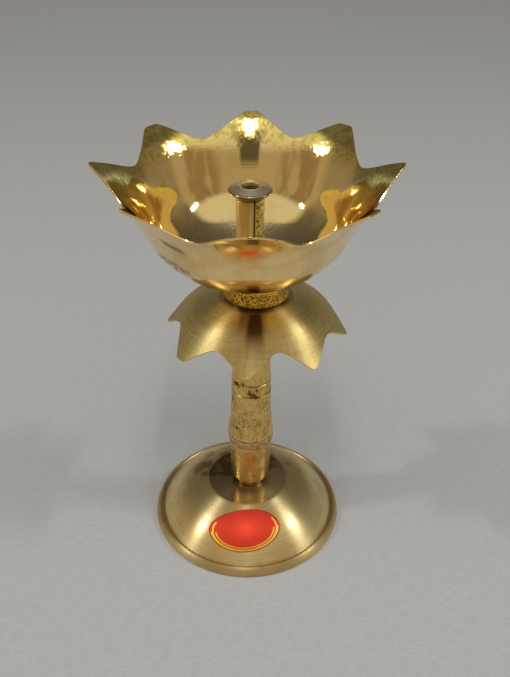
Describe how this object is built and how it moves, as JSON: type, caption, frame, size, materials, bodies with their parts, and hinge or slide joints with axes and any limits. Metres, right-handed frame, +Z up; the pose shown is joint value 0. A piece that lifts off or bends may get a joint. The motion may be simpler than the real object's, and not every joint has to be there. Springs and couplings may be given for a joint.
{
  "type": "pedestal oil lamp",
  "caption": "Brass pedestal oil lamp: dished foot, bamboo-like stem, inverted lotus skirt, lotus bowl with a wick holder.",
  "frame": {"origin": "on the table, under the middle of the lamp's outer box; the foot's centre is about 0.6 mm to +X and 1.2 mm to +Y of it", "axes": "+Z up along the stem; -Y is the front, where the foil oval is; +X is to the right seen from the front"},
  "size_m": [0.0928, 0.0918, 0.1434],
  "materials": {
    "satin_brass": "lathe-turned satin",
    "polished_brass": "polished",
    "cast_brass": "rough cast, buffed",
    "brushed_brass": "brushed round the axis",
    "speckled_brass": "speckled, as cast",
    "bowl_brass": "mirror inside, satin outside",
    "plated_steel": "zinc plated",
    "red_fibre": "pressed fibre",
    "red_foil": "metallised foil"
  },
  "bodies": {
    "root": {"base_dish": "satin_brass", "foil_label": "red_foil", "base_washer": "plated_steel", "base_nut": "plated_steel", "tie_rod": "plated_steel", "stem_ferrule": "polished_brass", "stem_column": "cast_brass", "lotus_skirt": "brushed_brass", "neck_collar": "speckled_brass", "lotus_bowl": "bowl_brass", "bowl_washer": "red_fibre", "wick_tube": "speckled_brass", "drip_disc": "polished_brass"}
  },
  "joints": []
}
